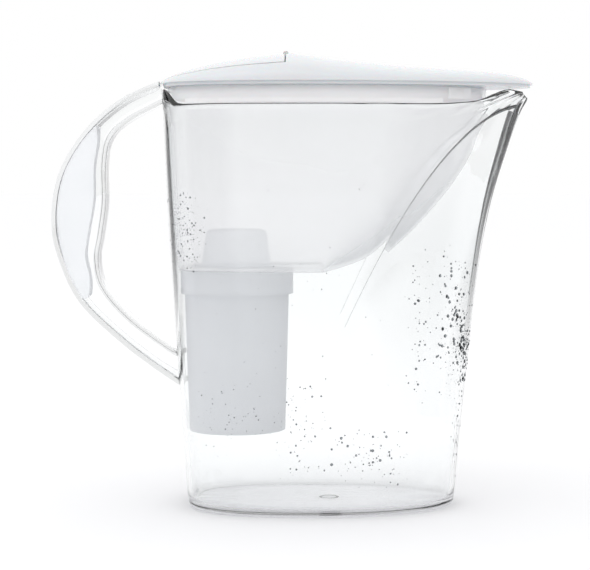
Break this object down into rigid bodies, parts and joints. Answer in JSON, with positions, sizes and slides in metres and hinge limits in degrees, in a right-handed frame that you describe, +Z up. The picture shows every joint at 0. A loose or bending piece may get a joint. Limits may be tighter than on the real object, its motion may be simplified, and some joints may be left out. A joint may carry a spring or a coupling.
{
  "type": "water filter pitcher",
  "caption": "Clear narrow jug with a flared spout and a loop handle, a white hopper hung in its rim, a round filter cartridge and a domed lid with a flip-up fill flap",
  "frame": {"origin": "centre of the flat base", "axes": "+X to the spout, +Z up, handle at -X, +Y across"},
  "size_m": [0.2763, 0.1064, 0.2618],
  "materials": {
    "clear_san": "clear injection-moulded SAN",
    "grip_elastomer": "frosted soft grip",
    "hopper_pp": "milky translucent polypropylene",
    "cartridge_pp": "white polypropylene, satin",
    "screen_mesh": "fine plastic mesh",
    "filter_media": "dark granular filter bed",
    "lid_pp": "white polypropylene, semi-gloss",
    "pin_acetal": "turned acetal pin"
  },
  "bodies": {
    "jug": {"jug_shell": "clear_san", "jug_handle": "clear_san", "grip_pad_front": "grip_elastomer", "grip_pad_back": "grip_elastomer"},
    "hopper": {"hopper_basin": "hopper_pp", "hopper_floor": "hopper_pp", "hopper_flange": "hopper_pp", "locating_tabs": "hopper_pp", "filter_sleeve": "hopper_pp"},
    "cartridge": {"cartridge_cup": "cartridge_pp", "cartridge_flange": "cartridge_pp", "cartridge_cap": "cartridge_pp", "upper_screen": "screen_mesh", "lower_screen": "screen_mesh", "filter_bed": "filter_media"},
    "lid": {"lid_shell": "lid_pp", "lid_plate": "lid_pp", "lid_skirt": "lid_pp", "fill_funnel": "lid_pp", "hinge_pin": "pin_acetal"},
    "flap": {"flap_shell": "lid_pp", "flap_knuckle": "lid_pp"}
  },
  "joints": [
    {"name": "hopper_lift", "type": "slide", "parent": "jug", "child": "hopper", "axis": [0, 0, 1], "range_m": [0, 0.2]},
    {"name": "cartridge_lift", "type": "slide", "parent": "hopper", "child": "cartridge", "axis": [0, 0, 1], "range_m": [0, 0.078]},
    {"name": "lid_lift", "type": "slide", "parent": "hopper", "child": "lid", "axis": [0, 0, 1], "range_m": [0, 0.06]},
    {"name": "flap_hinge", "type": "hinge", "parent": "lid", "child": "flap", "pos_m": [-0.02, 0, 0.26018], "axis": [0, 1, 0], "range_deg": [0, 100]}
  ]
}
